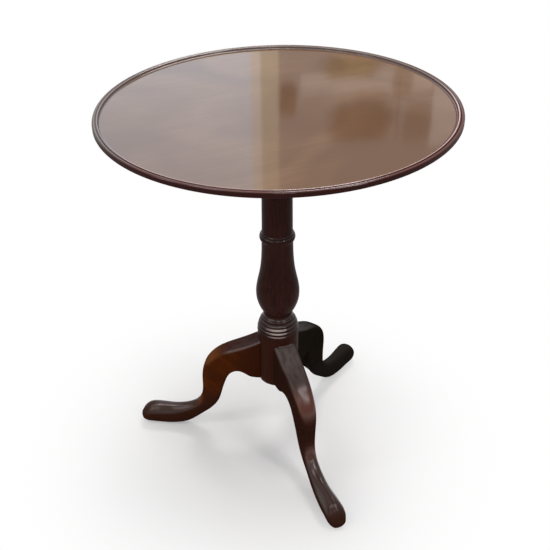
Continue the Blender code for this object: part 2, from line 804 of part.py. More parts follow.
# The keeper is let into the block's front face, over the mortise for the bolt
keeper_low = (-keeper_half_width, block_face, bolt_middle - keeper_height / 2)
keeper_high = (keeper_half_width, block_face + keeper_thickness, bolt_middle + keeper_height / 2)
keeper_plate = box("keeper_plate", keeper_low, keeper_high, parts, brass)
recess = box(
    "keeper_recess",
    (keeper_low[0] - seat_gap, block_face - overrun, keeper_low[2] - seat_gap),
    (keeper_high[0] + seat_gap, keeper_high[1] + seat_gap, block_top + overrun),
    cutters)
cut(tilt_block, recess)
bolt_mortise = box(
    "bolt_mortise",
    (-bolt_width / 2 - mortise_gap, block_face - overrun, bolt_foot - mortise_gap),
    (bolt_width / 2 + mortise_gap, block_face + mortise_depth, bolt_top + mortise_gap),
    cutters)
cut(tilt_block, bolt_mortise)
keeper_hole = box(
    "keeper_hole",
    (-bolt_width / 2 - keeper_gap, block_face - overrun, bolt_foot - keeper_gap),
    (bolt_width / 2 + keeper_gap, block_face + mortise_depth, bolt_top + keeper_gap),
    cutters)
cut(keeper_plate, keeper_hole)
for number, sign in ((1, -1), (2, 1)):
    fix("keeper_screw_" + str(number), keeper_screw_mesh, keeper_screw,
        (sign * keeper_screw_reach, block_face, bolt_middle), (keeper_plate, tilt_block),
        turn=(math.radians(-90), 0, 0))


def carrier(name, place, pieces):
    """An empty on a joint's axis that carries the pieces that move with it"""
    empty = bpy.data.objects.new(name, None)
    parts.objects.link(empty)
    empty.location = place
    bpy.context.view_layer.update()
    for piece in pieces:
        piece.parent = empty
        piece.matrix_parent_inverse = empty.matrix_world.inverted()
    return empty


# What slides in the staples, and what turns on the dowels with the top
bolt_slide = carrier("bolt_slide", (0, bolt_nose, bolt_middle), [catch_bolt, catch_knob])
on_top += [catch_plate, catch_spring, spring_rivet, bolt_slide]
carrier("tilt_axis", (0, pivot_reach, pivot_height), on_top)
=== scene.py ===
"""A tilt-top wine table of polished mahogany: the finish of every piece, built round the frame."""

import json
import math

import bpy
import numpy as np
from mathutils import Matrix, Vector


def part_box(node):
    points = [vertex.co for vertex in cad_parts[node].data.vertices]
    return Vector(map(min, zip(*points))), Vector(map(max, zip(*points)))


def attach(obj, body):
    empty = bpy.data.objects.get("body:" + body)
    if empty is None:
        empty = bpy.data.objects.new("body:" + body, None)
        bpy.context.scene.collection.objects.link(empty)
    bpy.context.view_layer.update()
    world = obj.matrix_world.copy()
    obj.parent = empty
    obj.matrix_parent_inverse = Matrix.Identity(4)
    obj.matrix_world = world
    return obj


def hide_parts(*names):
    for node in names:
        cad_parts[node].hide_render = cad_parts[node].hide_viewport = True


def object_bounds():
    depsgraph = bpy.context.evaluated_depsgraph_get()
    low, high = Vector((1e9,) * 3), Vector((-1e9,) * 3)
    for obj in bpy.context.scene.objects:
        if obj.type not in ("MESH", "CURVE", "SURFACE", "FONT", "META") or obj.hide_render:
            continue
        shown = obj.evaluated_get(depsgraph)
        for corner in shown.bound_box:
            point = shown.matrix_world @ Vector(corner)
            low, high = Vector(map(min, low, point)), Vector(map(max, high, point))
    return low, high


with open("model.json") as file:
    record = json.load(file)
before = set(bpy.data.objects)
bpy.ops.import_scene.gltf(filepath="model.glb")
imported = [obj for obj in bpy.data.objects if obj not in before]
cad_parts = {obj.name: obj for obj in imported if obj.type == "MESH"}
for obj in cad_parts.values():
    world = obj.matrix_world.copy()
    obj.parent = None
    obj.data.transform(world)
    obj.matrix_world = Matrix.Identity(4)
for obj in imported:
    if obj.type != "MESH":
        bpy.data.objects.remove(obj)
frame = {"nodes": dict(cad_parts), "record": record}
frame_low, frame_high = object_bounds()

scene = bpy.context.scene

# The camera stands a little left of the front foot and looks down on the table from
# chest height. The picture is cut from the right and upper part of a wider one, so the
# lens is shifted, and it is held with a slight tilt.
camera_place = Vector((-0.5022, -1.2200, 1.2412))
camera_aim = Vector((-0.0697, 0.0242, 0.2809))
camera_roll = math.radians(-2.295)
camera_lens = 57.11
camera_shift = (0.0664, 0.0842)

camera_look = camera_aim - camera_place
bpy.ops.object.camera_add(location=camera_place)
camera = bpy.context.object
camera.name = "camera"
camera.data.lens = camera_lens
camera.data.shift_x, camera.data.shift_y = camera_shift
camera.rotation_euler = (
    camera_look.to_track_quat("-Z", "Y").to_matrix() @ Matrix.Rotation(camera_roll, 3, "Z")
).to_euler()
scene.camera = camera


# The top is one broad mahogany board, turned on a faceplate lathe: the field is sunk, and a
# bead, a groove and a rounded edge are left standing as its rim. It has a dark stain under
# french polish, and a pale highlight is painted along the bead on its near side.
top_radius = frame_high.x
top_height = frame_high.z
board_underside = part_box("table_top")[0].z
dish_depth = 0.0044
field_height = top_height - dish_depth
edge_height = 0.0088
ovolo_radius = 0.0030
ovolo_steps = 14
ovolo_foot = top_height - edge_height
foot_round = 0.0012
foot_round_steps = 5
groove_middle = top_radius - 0.0056
groove_depth = 0.0014
bead_radius = 0.0021
bead_middle = groove_middle - bead_radius
bead_crest = groove_middle - bead_radius * 1.3
bead_steps = 12
cove_width = 0.0026
cove_foot = bead_middle - bead_radius - cove_width
cove_rise = ((0.35, 0.03), (0.65, 0.12), (0.88, 0.28))
bevel_width = 0.024
top_segments = 256
sharp_angle = math.radians(40)


def select_only(piece):
    """The piece alone is selected and active"""
    bpy.ops.object.select_all(action="DESELECT")
    piece.select_set(True)
    bpy.context.view_layer.objects.active = piece


def arc(radius, height, size, start, end, steps):
    """Points of an arc round (radius, height), angles in degrees from outwards"""
    angles = np.radians(np.linspace(start, end, steps))
    return [(radius + size * math.cos(a), height + size * math.sin(a)) for a in angles]


def lathe(name, outline, segments):
    """A solid turned about Z, ring by ring down its outline of (radius, height) points"""
    radius, height = outline[0]
    bpy.ops.object.select_all(action="DESELECT")
    bpy.ops.mesh.primitive_circle_add(
        vertices=segments, radius=radius, fill_type="NGON", location=(0, 0, height))
    piece = bpy.context.object
    piece.name = name
    bpy.ops.object.transform_apply()
    bpy.ops.object.mode_set(mode="EDIT")
    bpy.ops.mesh.select_all(action="SELECT")
    for next_radius, next_height in outline[1:]:
        grow = next_radius / radius
        bpy.ops.mesh.extrude_region_move(
            TRANSFORM_OT_translate={"value": (0, 0, next_height - height)})
        bpy.ops.transform.resize(value=(grow, grow, 1), center_override=(0, 0, next_height))
        radius, height = next_radius, next_height
    bpy.ops.mesh.select_all(action="SELECT")
    bpy.ops.mesh.normals_make_consistent(inside=False)
    bpy.ops.object.mode_set(mode="OBJECT")
    bpy.ops.object.shade_smooth_by_angle(angle=sharp_angle)
    return piece


def mark_upward(piece):
    """Where a surface faces up is kept as a value on its points: polish is laid on there, and painted
    sheen, glow and highlights too
    """
    piece.data.update()
    upward = piece.data.attributes.new("upward", "FLOAT", "POINT")
    upward.data.foreach_set("value", [vertex.normal.z for vertex in piece.data.vertices])


def feed(tree, socket, value):
    """A socket is linked to a value that varies over the surface, or set to a plain one"""
    if isinstance(value, bpy.types.NodeSocket):
        tree.links.new(value, socket)
    else:
        socket.default_value = value


def new_node(tree, kind, **inputs):
    """A shader node with its inputs fed by name, or by number after an underscore"""
    made = tree.nodes.new(kind)
    for name, value in inputs.items():
        socket = made.inputs[int(name[1:])] if name[0] == "_" else made.inputs[name.replace("_", " ")]
        feed(tree, socket, value)
    return made


def math_node(tree, operation, first, second=0.5, clamp=False):
    """One sum of two values, or of the first alone"""
    made = new_node(tree, "ShaderNodeMath", _0=first, _1=second)
    made.operation = operation
    made.use_clamp = clamp
    return made.outputs[0]


def product(tree, first, *others):
    """Several masks and shares multiplied together"""
    for other in others:
        first = math_node(tree, "MULTIPLY", first, other)
    return first


def rescaled(tree, value, span, base):
    """A value that ran from 0 to 1 runs over this span, up from its base"""
    return math_node(tree, "ADD", math_node(tree, "MULTIPLY", value, span), base)


def gap_to(tree, value, middle):
    """How far a value is from a middle one, to either side"""
    return math_node(tree, "ABSOLUTE", math_node(tree, "SUBTRACT", value, middle))


def ramp(tree, value, low, high):
    """A smooth step from 0 at low to 1 at high"""
    made = new_node(tree, "ShaderNodeMapRange", Value=value, From_Min=low, From_Max=high)
    made.interpolation_type = "SMOOTHSTEP"
    return made.outputs[0]


def blend_colors(tree, share, first, second):
    """Two colours mixed by a share"""
    made = tree.nodes.new("ShaderNodeMix")
    made.data_type = "RGBA"
    for number, value in ((0, share), (6, first), (7, second)):
        feed(tree, made.inputs[number], value)
    return made.outputs[2]


def object_place(tree):
    """The place of a point on the piece, which is its place in the room"""
    return new_node(tree, "ShaderNodeTexCoord").outputs["Object"]


def split_place(tree, place):
    """The X, Y and Z of a place"""
    return new_node(tree, "ShaderNodeSeparateXYZ", Vector=place).outputs


def vector_node(tree, operation, first, second=(0, 0, 0)):
    """One sum of two places, or of the first alone"""
    made = new_node(tree, "ShaderNodeVectorMath", _0=first, _1=second)
    made.operation = operation
    return made.outputs


def turned_place(tree, place, turn):
    """A place turned so that a grain along X runs another way"""
    return new_node(tree, "ShaderNodeMapping", Vector=place, Rotation=turn).outputs[0]


def stretched(tree, place, along, across):
    """A place squeezed along the grain, which runs along X"""
    return vector_node(tree, "MULTIPLY", place, (along, across, across))["Vector"]


def noise(tree, place, scale, detail=3.0, roughness=0.5, distortion=0.0):
    """A noise value over a place"""
    made = new_node(
        tree, "ShaderNodeTexNoise", Vector=place, Scale=scale, Detail=detail,
        Roughness=roughness, Distortion=distortion)
    return made.outputs[0]


def new_group(name, takes, gives):
    """A shader node group with its sockets, and its input and output nodes"""
    group = bpy.data.node_groups.new(name, "ShaderNodeTree")
    for direction, sockets in (("INPUT", takes), ("OUTPUT", gives)):
        for socket_name, kind in sockets:
            group.interface.new_socket(socket_name, in_out=direction, socket_type="NodeSocket" + kind)
    entry = group.nodes.new("NodeGroupInput")
    exit_node = group.nodes.new("NodeGroupOutput")
    return group, entry.outputs, exit_node.inputs


def make_mahogany_grain():
    """Long grain along X: slow bands of stain, streaks in them, and short dark pores"""
    tree, given, put = new_group(
        "mahogany_grain",
        [("Place", "Vector"), ("Fineness", "Float"), ("Dark", "Color"), ("Middle", "Color"),
         ("Light", "Color"), ("Pores", "Float")],
        [("Color", "Color"), ("Height", "Float"), ("Roughness", "Float")])
    scaled = new_node(tree, "ShaderNodeVectorMath", _0=given["Place"])
    scaled.operation = "SCALE"
    tree.links.new(given["Fineness"], scaled.inputs["Scale"])
    place = scaled.outputs[0]
    bands = noise(
        tree, stretched(tree, place, along=1.2, across=7.0),
        scale=2.2, detail=3.0, roughness=0.55, distortion=0.8)
    figure = noise(
        tree, stretched(tree, place, along=2.4, across=5.0),
        scale=6.0, detail=2.0, roughness=0.5, distortion=1.6)
    streaks = noise(
        tree, stretched(tree, place, along=0.9, across=26.0),
        scale=7.0, detail=6.0, roughness=0.65, distortion=0.2)
    pores = noise(
        tree, stretched(tree, place, along=14.0, across=160.0),
        scale=5.0, detail=2.0, roughness=0.6)
    pore_depth = product(tree, ramp(tree, pores, 0.60, 0.70), given["Pores"])
    depth = math_node(tree, "ADD", ramp(tree, bands, 0.32, 0.68), ramp(tree, figure, 0.3, 0.75))
    color = blend_colors(tree, product(tree, depth, 0.5), given["Dark"], given["Middle"])
    color = blend_colors(tree, ramp(tree, streaks, 0.45, 0.78), color, given["Light"])
    color = blend_colors(tree, pore_depth, color, given["Dark"])
    tree.links.new(color, put["Color"])
    height = math_node(tree, "SUBTRACT", product(tree, streaks, 0.25), pore_depth)
    tree.links.new(height, put["Height"])
    tree.links.new(product(tree, streaks, 0.3), put["Roughness"])
    return tree


mahogany_grain = make_mahogany_grain()


def new_material(name):
    """An empty material, its tree and its Principled shader"""
    made = bpy.data.materials.new(name)
    made.use_nodes = True
    return made, made.node_tree, made.node_tree.nodes["Principled BSDF"]


def group_node(tree, group, **inputs):
    """A node group placed in a material, with its inputs fed by name"""
    made = tree.nodes.new("ShaderNodeGroup")
    made.node_tree = group
    for name, value in inputs.items():
        feed(tree, made.inputs[name], value)
    return made.outputs


def relief(tree, height, strength, depth):
    """A bump from a height"""
    return new_node(tree, "ShaderNodeBump", Strength=strength, Distance=depth, Height=height).outputs[0]


def dress(tree, shader, **inputs):
    """The shader's own sockets are fed by name"""
    for name, value in inputs.items():
        feed(tree, shader.inputs[name.replace("_", " ")], value)


def upward_share(tree, low, high):
    """A smooth step over how far the surface faces up"""
    own = new_node(tree, "ShaderNodeAttribute")
    own.attribute_name = "upward"
    return ramp(tree, own.outputs["Fac"], low, high)


board_dark = (0.122, 0.059, 0.026, 1)
board_middle = (0.150, 0.076, 0.035, 1)
board_light = (0.160, 0.083, 0.040, 1)
board_cloud = (0.100, 0.045, 0.018, 1)
rim_reflection_grey = (0.090, 0.062, 0.054, 1)
rim_red = (0.085, 0.026, 0.020, 1)
crest_highlight_pale = (0.60, 0.42, 0.39, 1)
groove_shade_color = (0.022, 0.0090, 0.0075, 1)
edge_dark = (0.026, 0.0072, 0.0060, 1)
underside_brown = (0.050, 0.030, 0.019, 1)
near_side = (0.02, -0.18)
upper_face = (top_height - 0.0095, top_height - 0.0085)
rim_reach = (top_radius - 0.0149, top_radius - 0.0135)
ovolo_reach = (top_radius - 0.0056, top_radius - 0.0040)
edge_reach = (top_radius - 0.0016, top_radius - 0.0004)
crest_fade = (0.0011, 0.0004)
groove_fade = (0.0014, 0.0007)
cloud_edge = (0.42, 0.66)
facing_up = (0.25, 0.65)


def make_top_finish():
    """Red-brown board under thick clear polish. Its rim is painted grey-brown as a reflection and red on
    the near side, with a painted highlight on the bead's crest, painted shade in the groove and a darker
    outer edge
    """
    made, tree, shader = new_material("french_polished_top")
    place = object_place(tree)
    grain = group_node(
        tree, mahogany_grain, Place=place, Fineness=0.8, Pores=0.12,
        Dark=board_dark, Middle=board_middle, Light=board_light)
    clouds = noise(tree, place, scale=5.0, detail=2.0, roughness=0.45, distortion=0.6)
    flat = vector_node(tree, "MULTIPLY", place, (1, 1, 0))["Vector"]
    reach = vector_node(tree, "LENGTH", flat)["Value"]
    split = split_place(tree, place)
    near = ramp(tree, split["Y"], *near_side)
    upper = ramp(tree, split["Z"], *upper_face)
    rim = product(tree, ramp(tree, reach, *rim_reach), upper)
    crest = ramp(tree, gap_to(tree, reach, bead_crest), *crest_fade)
    crest_highlight = product(tree, rescaled(tree, near, span=0.75, base=0.15), upper, crest)
    groove = ramp(tree, gap_to(tree, reach, groove_middle), *groove_fade)
    groove_shade = product(tree, rescaled(tree, near, span=0.8, base=0.15), upper, groove)
    edge = ramp(tree, reach, *edge_reach)
    ovolo = ramp(tree, reach, *ovolo_reach)

    color = blend_colors(tree, ramp(tree, clouds, *cloud_edge), grain["Color"], board_cloud)
    # The rim is painted grey-brown all round as a reflection, and keeps its own red on the near side.
    color = blend_colors(tree, rim, color, rim_reflection_grey)
    color = blend_colors(tree, product(tree, rim, near), color, rim_red)
    # A pale highlight is painted along the bead's crest, strongest on the near side.
    color = blend_colors(tree, crest_highlight, color, crest_highlight_pale)
    # Painted shade darkens the groove, strongest on the near side.
    color = blend_colors(tree, groove_shade, color, groove_shade_color)
    # The outer edge is darker.
    color = blend_colors(tree, edge, color, edge_dark)
    color = blend_colors(tree, upper, underside_brown, color)

    bare = math_node(tree, "MAXIMUM", product(tree, groove_shade, 0.85), product(tree, ovolo, 0.3))
    polished = math_node(tree, "SUBTRACT", 1.0, product(tree, bare, near))
    dress(
        tree, shader, Base_Color=color, Roughness=0.5, Specular_IOR_Level=0.05,
        Coat_Weight=product(tree, upward_share(tree, *facing_up), polished), Coat_Roughness=0.06,
        Normal=relief(tree, grain["Height"], strength=0.02, depth=0.0002))
    return made


def fit(piece, body, slot, finish, *nodes):
    """The piece gets its finish, rides on its body and stands for its nodes"""
    piece.data.materials.clear()
    piece.data.materials.append(finish)
    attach(piece, body)
    if nodes:
        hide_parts(*nodes)


top_outline = [(cove_foot - cove_width, field_height), (cove_foot, field_height)]
top_outline += [
    (cove_foot + cove_width * across, field_height + dish_depth * rise) for across, rise in cove_rise]
top_outline += arc(bead_middle, top_height - bead_radius, bead_radius, 170, 25, bead_steps)
top_outline += [
    (groove_middle - 0.0001, top_height - groove_depth * 0.92),
    (groove_middle + 0.0003, top_height - groove_depth)]
top_outline += arc(
    top_radius - ovolo_radius, top_height - ovolo_radius, ovolo_radius, 115, 0, ovolo_steps)
top_outline += [(top_radius, ovolo_foot + 0.0016)]
top_outline += arc(
    top_radius - foot_round, ovolo_foot + foot_round, foot_round, -15, -80, foot_round_steps)
top_outline += [(top_radius - bevel_width, board_underside), (top_radius * 0.5, board_underside)]
top_board = lathe("top_board", top_outline, top_segments)
mark_upward(top_board)
fit(top_board, "top", "top_wood", make_top_finish(), "table_top")


# The pillar is turned from one mahogany post: a plain shaft above a ring, a slender vase, a
# bulb cut with five reeds, and a drum that the legs are housed in.
tenon_radius = 0.0165
block_gap = 0.0003
shaft_top_radius = 0.0258
shaft_foot_radius = 0.0271
shaft_flare = 0.0004
ring_radius = 0.0316
ring_height = 0.4630
ring_half_height = 0.0062
vase_radius = 0.0395
vase_height = 0.3480
vase_rise = ((0.00, 1.00), (0.07, 0.975), (0.14, 0.905), (0.22, 0.80), (0.30, 0.675), (0.38, 0.555),
             (0.47, 0.445), (0.58, 0.35), (0.70, 0.28), (0.84, 0.235), (1.00, 0.22))
vase_fall = ((0.00, 1.00), (0.16, 0.985), (0.32, 0.92), (0.50, 0.78), (0.68, 0.57), (0.84, 0.32),
             (1.00, 0.0))
neck_radius = 0.0246
neck_height = 0.3025
neck_bead_radius = neck_radius + 0.0018
ball_smooth = 0.0038
reed_pitch = 0.0068
reed_depth = 0.0009
reed_curve = ((0.0004, 0.30), (0.0, 0.60), (0.0002, 0.92))
reed_shares = (0.39, 0.67, 0.87, 1.00, 1.04)
drum_radius = 0.0382
drum_foot = 0.1515
drum_lip = 0.0005
drum_round = 0.0012
pillar_segments = 128
leg_turns = {"leg_front": 270.0, "leg_right": 34.2, "leg_left": 150.0}
leg_shoulder = 0.0310
leg_ledge = 0.2445
housing_foot = 0.14
housing_reach = 0.08
housing_half_width = 0.04
tongue_half_widths = (0.0098, 0.0068)
tongue_depth = 0.0143
tongue_head = 0.2298
socket_reach = 0.06
shaft_rings = 9
ring_steps = 13
vase_steps = 6
fillet_steps = 3
reed_steps = 4
drum_rings = 12


def eased(points, steps):
    """A smooth run through points, as Hermite spans"""
    points = np.array(points, float)
    slopes = np.gradient(points, axis=0)
    run = []
    for i in range(len(points) - 1):
        for t in np.linspace(0, 1, steps, endpoint=False):
            near = (2 * t**3 - 3 * t**2 + 1) * points[i] + (t**3 - 2 * t**2 + t) * slopes[i]
            far = (3 * t**2 - 2 * t**3) * points[i + 1] + (t**3 - t**2) * slopes[i + 1]
            run.append(tuple(near + far))
    run.append(tuple(points[-1]))
    return run


def pillar_outline():
    """The pillar from its tenon in the block down to the drum's foot"""
    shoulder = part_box("tilt_block")[0].z - block_gap
    ring_top = ring_height + ring_half_height
    ring_foot = ring_height - ring_half_height
    shaft_drop = ring_top + ring_half_height - shoulder
    fillet = (ring_radius + 2 * shaft_foot_radius) / 3
    outline = [
        (tenon_radius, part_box("column")[1].z), (tenon_radius, shoulder), (shaft_top_radius, shoulder)]
    for share in np.linspace(0.1, 0.9, shaft_rings):
        shaft_radius = shaft_top_radius + (shaft_foot_radius - shaft_top_radius) * share
        outline.append((shaft_radius, shoulder + shaft_drop * share))
    outline += eased(
        [(shaft_foot_radius, ring_top + ring_half_height),
         (shaft_foot_radius + shaft_flare, ring_top + ring_half_height * 0.6),
         (fillet, ring_top + ring_half_height * 0.25), (fillet, ring_top)], fillet_steps)
    for angle in np.radians(np.linspace(80, -80, ring_steps)):
        swell = (ring_radius - fillet) * math.cos(angle)
        outline.append((fillet + swell, ring_height + ring_half_height * math.sin(angle)))
    outline.append((fillet, ring_foot))
    swell = vase_radius - neck_radius
    rise = ring_foot - vase_height - ring_half_height / 2
    vase = [(neck_radius + swell * r, vase_height + rise * h) for h, r in reversed(vase_rise)]
    vase += [(neck_radius + swell * r, vase_height - (vase_height - neck_height) * h)
             for h, r in vase_fall[1:]]
    outline += eased(vase, vase_steps)
    bead_foot = neck_height - reed_pitch / 2
    outline += [(neck_bead_radius, neck_height - reed_pitch / 5), (neck_bead_radius, bead_foot)]
    bulb = drum_radius - neck_radius
    reed_head = bead_foot - ball_smooth
    outline += eased(
        [(neck_radius + bulb * 0.08, bead_foot - ball_smooth * 0.10),
         (neck_radius + bulb * 0.14, bead_foot - ball_smooth * 0.45),
         (neck_radius + bulb * 0.25, reed_head)], fillet_steps)
    for number, share in enumerate(reed_shares):
        head = reed_head - number * reed_pitch
        crest = neck_radius + bulb * share
        before = reed_shares[number - 1] if number else share / 2
        groove = neck_radius + bulb * (before + share) / 2 - reed_depth
        reed = [(groove, head - reed_pitch * 0.06)]
        reed += [(crest - inset, head - reed_pitch * drop) for inset, drop in reed_curve]
        outline += eased(reed, reed_steps)
    reed_foot = reed_head - len(reed_shares) * reed_pitch
    outline += [(drum_radius - drum_lip, reed_foot), (drum_radius, reed_foot - reed_pitch * 0.25)]
    drum_heights = np.linspace(reed_foot - 0.006, drum_foot + 0.002, drum_rings)
    outline += [(drum_radius, height) for height in drum_heights]
    outline += [
        (drum_radius - drum_round / 2, drum_foot + drum_round / 4), (drum_radius - drum_round, drum_foot)]
    return outline


def apply_modifiers(piece):
    """Every modifier of the piece is applied, top to bottom"""
    select_only(piece)
    for modifier in list(piece.modifiers):
        bpy.ops.object.modifier_apply(modifier=modifier.name)


def cut_with(piece, cutter):
    """An exact cut, after which the cutter is removed"""
    boolean = piece.modifiers.new("cut", "BOOLEAN")
    boolean.object = cutter
    boolean.solver = "EXACT"
    apply_modifiers(piece)
    bpy.data.objects.remove(cutter, do_unlink=True)


def cutter_box(low, high, turn):
    """A block between two corners, turned about the pillar's axis"""
    low, high = Vector(low), Vector(high)
    bpy.ops.object.select_all(action="DESELECT")
    bpy.ops.mesh.primitive_cube_add(size=1, location=(low + high) / 2)
    block = bpy.context.object
    block.scale = high - low
    bpy.ops.object.transform_apply()
    block.data.transform(Matrix.Rotation(math.radians(turn), 4, "Z"))
    return block


pillar = lathe("turned_pillar", pillar_outline(), pillar_segments)
for turn in leg_turns.values():
    housing = cutter_box(
        (leg_shoulder, -housing_half_width, housing_foot),
        (housing_reach, housing_half_width, leg_ledge), turn)
    cut_with(pillar, housing)
    socket = cutter_box(
        (leg_shoulder - tongue_depth, -housing_half_width, housing_foot),
        (socket_reach, housing_half_width, tongue_head), 0)
    for vertex in socket.data.vertices:
        half_width = tongue_half_widths[0] if vertex.co.x < leg_shoulder else tongue_half_widths[1]
        vertex.co.y = math.copysign(half_width, vertex.co.y)
    socket.data.transform(Matrix.Rotation(math.radians(turn), 4, "Z"))
    cut_with(pillar, socket)
select_only(pillar)
bpy.ops.object.shade_smooth_by_angle(angle=sharp_angle)


pillar_dark = (0.016, 0.0056, 0.0046, 1)
pillar_middle = (0.030, 0.0096, 0.0074, 1)
pillar_light = (0.048, 0.0150, 0.0100, 1)
drum_red = (0.033, 0.0082, 0.0034, 1)
upward_dust_and_sheen = (0.050, 0.038, 0.036, 1)
reed_highlight_pale = (0.42, 0.35, 0.335, 1)
lip_highlight_pale = (0.14, 0.11, 0.10, 1)
drum_fade = (0.275, 0.235)
reeds_foot = (0.252, 0.258)
reeds_head = (0.290, 0.280)
reed_highlight_middle = -0.0145
reed_highlight_fade = (0.019, 0.005)
reed_highlight_front = (-0.010, -0.030)
lip_head = (0.2470, 0.2462)
lip_foot = (0.2440, 0.2448)
lip_fade = (0.0150, 0.0120)
lip_front = (-0.020, -0.024)
side_gloss_height = (0.245, 0.285)


def make_pillar_finish():
    """Nearly black polished mahogany with upright grain, red where the light catches it. Upward faces are
    greyed, partly dusty and partly a painted sheen, and painted highlights lie on the front of the reeds
    and over the front leg
    """
    made, tree, shader = new_material("dark_pillar_polish")
    place = object_place(tree)
    grain = group_node(
        tree, mahogany_grain, Place=turned_place(tree, place, (0, math.radians(90), 0)),
        Fineness=2.0, Pores=0.5, Dark=pillar_dark, Middle=pillar_middle, Light=pillar_light)
    split = split_place(tree, place)
    height = split["Z"]
    low = ramp(tree, height, *drum_fade)
    at_reeds = product(tree, ramp(tree, height, *reeds_foot), ramp(tree, height, *reeds_head))
    in_front = product(
        tree, ramp(tree, gap_to(tree, split["X"], reed_highlight_middle), *reed_highlight_fade),
        ramp(tree, split["Y"], *reed_highlight_front))
    at_lip = product(tree, ramp(tree, height, *lip_head), ramp(tree, height, *lip_foot))
    over_leg = product(
        tree, ramp(tree, gap_to(tree, split["X"], 0.0), *lip_fade),
        ramp(tree, split["Y"], *lip_front))

    color = blend_colors(tree, product(tree, low, 0.8), grain["Color"], drum_red)
    # Upward faces are painted grey-brown, partly dusty and partly a painted sheen.
    color = blend_colors(tree, product(tree, upward_share(tree, 0.2, 0.8), 0.6), color, upward_dust_and_sheen)
    # A pale highlight is painted on the upward faces of the reeds at the front.
    reed_highlight = product(tree, at_reeds, in_front, upward_share(tree, 0.1, 0.6))
    color = blend_colors(tree, reed_highlight, color, reed_highlight_pale)
    # A pale highlight line is painted on the drum just above the front leg.
    color = blend_colors(tree, product(tree, at_lip, over_leg), color, lip_highlight_pale)

    sides = product(tree, ramp(tree, height, *side_gloss_height), 0.025)
    ledges = product(tree, upward_share(tree, 0.25, 0.6), 0.96)
    dress(
        tree, shader, Base_Color=color, Roughness=0.4, Specular_IOR_Level=0.02,
        Coat_Weight=math_node(tree, "ADD", ledges, sides), Coat_Roughness=0.16,
        Normal=relief(tree, grain["Height"], strength=0.2, depth=0.0003))
    return made


mark_upward(pillar)
fit(pillar, "pillar", "pillar_wood", make_pillar_finish(), "column")


# Each leg is sawn from a thick plank and shaped with spokeshave and rasp: square at the
# shoulder, rounder past the knee, and swelling into a long pad foot. A dovetail holds it.
voxel = 0.0011
merge_distance = 0.00001
joint_face = leg_shoulder + 0.0004
shoulder_fade = 0.005
sole_fade = 0.0015
soft_passes = 30
knee_fade = 0.055
ankle_height = 0.10
ankle_fade = 0.03
knee_passes = 130
inward_start = 0.1
inward_fade = 0.3
arch_end = 0.155
arch_fade = 0.01
arch_kept = 0.85
crook_reach = 0.096
crook_height = 0.118
crook_size = 0.060
crook_fill = 0.0135
instep = 0.190
pad_swell = 0.06
toe_start = 0.250
toe_rise = 0.0175
toe_height = 0.032
toe_curve = 3.3
sole_curve = 8
toe_blunting = 0.15
toe_blunt_share = 0.7
leg_sharp_angle = math.radians(50)
leg_grain_slope = math.radians(42)


def bench_copy(node, name):
    """A new piece from a node's own surface, with its loose triangles merged"""
    piece = bpy.data.objects.new(name, frame["nodes"][node].data.copy())
    piece.data.name = name
    scene.collection.objects.link(piece)
    select_only(piece)
    bpy.ops.mesh.customdata_custom_splitnormals_clear()
    bpy.ops.object.mode_set(mode="EDIT")
    bpy.ops.mesh.select_all(action="SELECT")
    bpy.ops.mesh.remove_doubles(threshold=merge_distance)
    bpy.ops.object.mode_set(mode="OBJECT")
    return piece


def cut_off(piece, reach, direction, keep_outer):
    """The piece is cut square across at a reach from the axis, and closed again"""
    select_only(piece)
    bpy.ops.object.mode_set(mode="EDIT")
    bpy.ops.mesh.select_all(action="SELECT")
    bpy.ops.mesh.bisect(
        plane_co=direction * reach, plane_no=direction, use_fill=True,
        clear_inner=keep_outer, clear_outer=not keep_outer)
    bpy.ops.object.mode_set(mode="OBJECT")


def held(share):
    """A share held between 0 and 1"""
    return max(0.0, min(1.0, share))


def eased_share(share):
    """A share held between 0 and 1, with soft ends"""
    share = held(share)
    return share * share * (3 - 2 * share)


def flatten_toe(leg, direction):
    """The pad is let down flat almost to its tip, and the foot swells and ends bluntly"""
    tip = max(vertex.co.dot(direction) for vertex in leg.data.vertices)
    for vertex in leg.data.vertices:
        reach = vertex.co.dot(direction)
        share = (reach - toe_start) / (tip - toe_start)
        if share > 0:
            rise = toe_rise * share**toe_curve
            low = held((toe_height - vertex.co.z) / (toe_height - rise))
            vertex.co.z = max(0.0, vertex.co.z - low * (rise - toe_rise * share**sole_curve))
        swell = pad_swell * eased_share((reach - instep) / (toe_start - instep))
        vertex.co.z *= 1 + swell
        aside = vertex.co - direction * reach
        aside.z = 0
        vertex.co += aside * (swell + toe_blunting * eased_share(share / toe_blunt_share))


def fill_arch(leg, direction):
    """Wood is left standing in the crook of the far leg's arch"""
    for vertex in leg.data.vertices:
        away = math.hypot(vertex.co.dot(direction) - crook_reach, vertex.co.z - crook_height)
        share = eased_share(1 - away / crook_size)
        vertex.co -= (direction + Vector((0, 0, 1))) * crook_fill * share


